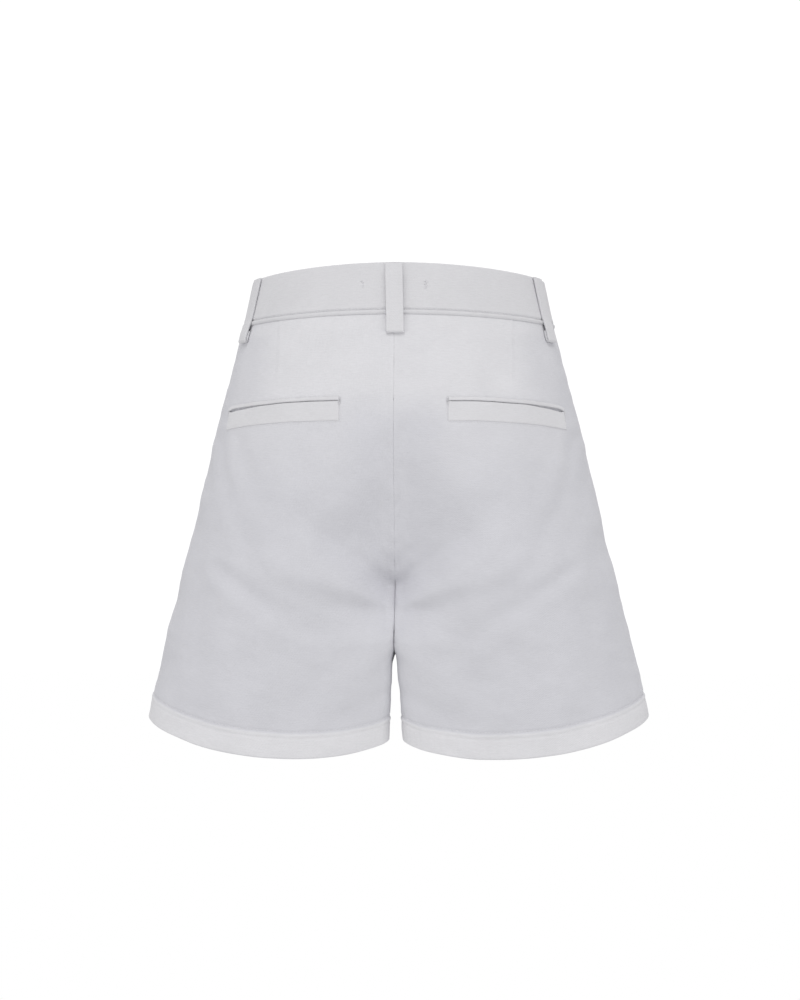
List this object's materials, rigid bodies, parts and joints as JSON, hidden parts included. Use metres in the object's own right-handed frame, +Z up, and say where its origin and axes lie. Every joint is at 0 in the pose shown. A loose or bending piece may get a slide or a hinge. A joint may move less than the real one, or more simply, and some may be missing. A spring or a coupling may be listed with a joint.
{
  "type": "high-waisted denim shorts",
  "caption": "High-waisted A-line shorts in white denim, filled out and open at waist and legs, with welt back pockets, belt loops and a fly front.",
  "frame": {"origin": "middle of the waist opening, level with the middle of the waistband at the sides, where the wearer's waist holds the shorts up", "axes": "+Z up out of the waist opening, +X towards the wearer's left, -Y towards the front, so the back pockets face +Y"},
  "size_m": [0.428, 0.2282, 0.405],
  "materials": {
    "denim": "white cotton twill with a slubby, slightly napped face",
    "button": "off-white four-hole sewing button, satin"
  },
  "bodies": {
    "root": {"back_left": "denim", "back_right": "denim", "front_left": "denim", "front_right": "denim", "waistband_left": "denim", "waistband_right": "denim", "pocket_welt_left": "denim", "pocket_welt_right": "denim", "pocket_lip_left": "denim", "pocket_lip_right": "denim", "belt_loop_back": "denim", "belt_loop_side_left": "denim", "belt_loop_side_right": "denim", "belt_loop_front_left": "denim", "belt_loop_front_right": "denim", "fly_shield": "denim", "button": "button"}
  },
  "joints": []
}
